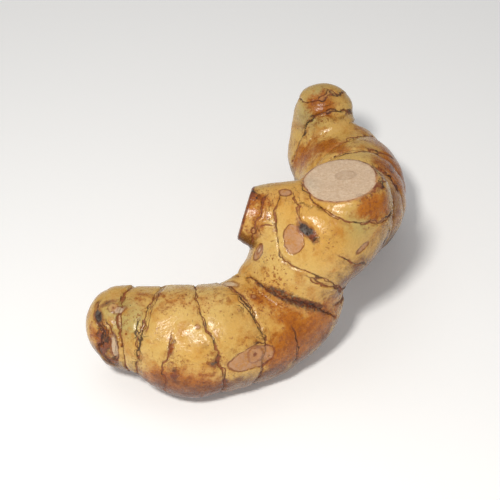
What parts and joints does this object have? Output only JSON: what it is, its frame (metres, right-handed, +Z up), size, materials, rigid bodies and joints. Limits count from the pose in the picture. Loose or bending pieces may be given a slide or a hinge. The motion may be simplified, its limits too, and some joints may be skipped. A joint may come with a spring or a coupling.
{
  "type": "galangal root",
  "caption": "Fresh galangal rhizome, a bent chain of thick ringed lobes with its stem cut off, lying on its flattened underside.",
  "frame": {"origin": "middle of the bounding box's footprint, on the surface that the rhizome rests on", "axes": "+Z up, away from the surface and towards the cut stem; +Y along the back lobe, towards the young shoot; the front arm lies roughly along X"},
  "size_m": [0.1078, 0.1266, 0.0608],
  "materials": {
    "rhizome_skin": "smooth waxy ochre skin with thin red-brown leaf scars, glossy"
  },
  "bodies": {
    "root": {"rhizome": "rhizome_skin"}
  },
  "joints": []
}
